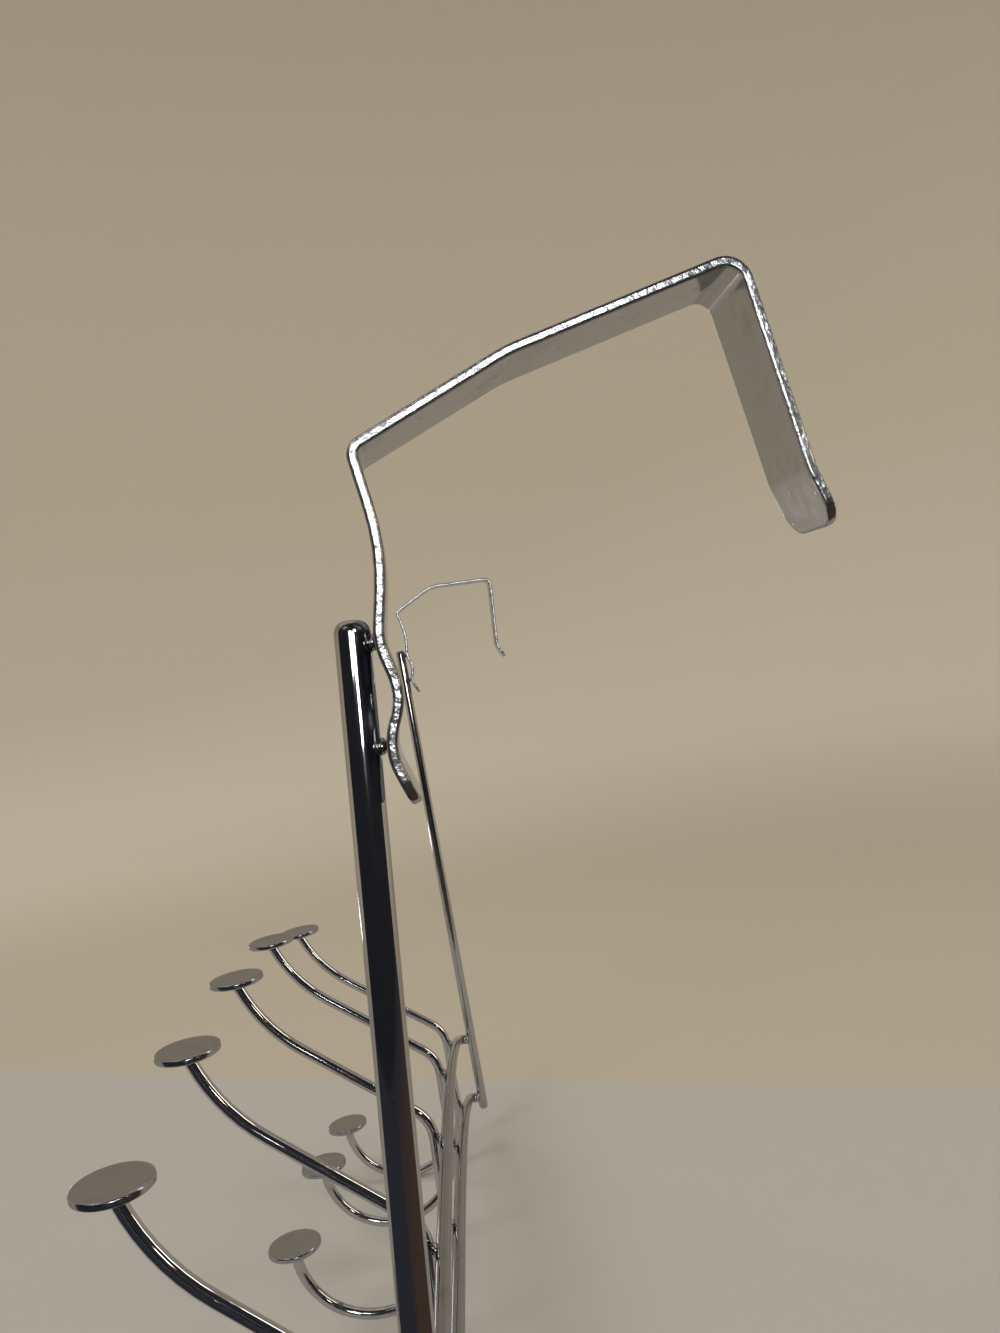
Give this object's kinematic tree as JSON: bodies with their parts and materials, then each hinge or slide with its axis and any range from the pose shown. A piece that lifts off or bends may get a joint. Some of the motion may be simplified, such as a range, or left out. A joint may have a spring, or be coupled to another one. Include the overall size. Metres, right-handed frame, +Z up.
{
  "type": "over-the-door hook rack",
  "caption": "Chromed wire rack with arched rails and double hooks tipped with flat discs, hung over a door's top edge by two folded straps.",
  "frame": {"origin": "midway between the two straps' front folds, at their height, where a door's top edge sits", "axes": "+X to the right seen from the front, -Y to the front where the hooks point, +Z up"},
  "size_m": [0.434, 0.1488, 0.2962],
  "materials": {
    "upright_chrome": "bright chrome plate on steel rod",
    "rail_chrome": "bright chrome plate on steel rod",
    "hook_chrome": "bright chrome plate on steel wire",
    "disc_chrome": "bright chrome plate, finely pitted on top",
    "strap_chrome": "bright chrome plate on steel strip"
  },
  "bodies": {
    "root": {"upright_left": "upright_chrome", "upright_right": "upright_chrome", "rail_upper": "rail_chrome", "rail_lower": "rail_chrome", "hook_1": "hook_chrome", "hook_2": "hook_chrome", "hook_3": "hook_chrome", "hook_4": "hook_chrome", "hook_5": "hook_chrome", "hook_6": "hook_chrome", "disc_upper_1": "disc_chrome", "disc_upper_2": "disc_chrome", "disc_upper_3": "disc_chrome", "disc_upper_4": "disc_chrome", "disc_upper_5": "disc_chrome", "disc_upper_6": "disc_chrome", "disc_lower_1": "disc_chrome", "disc_lower_2": "disc_chrome", "disc_lower_3": "disc_chrome", "disc_lower_4": "disc_chrome", "disc_lower_5": "disc_chrome", "disc_lower_6": "disc_chrome", "strap_left": "strap_chrome", "strap_right": "strap_chrome"}
  },
  "joints": []
}
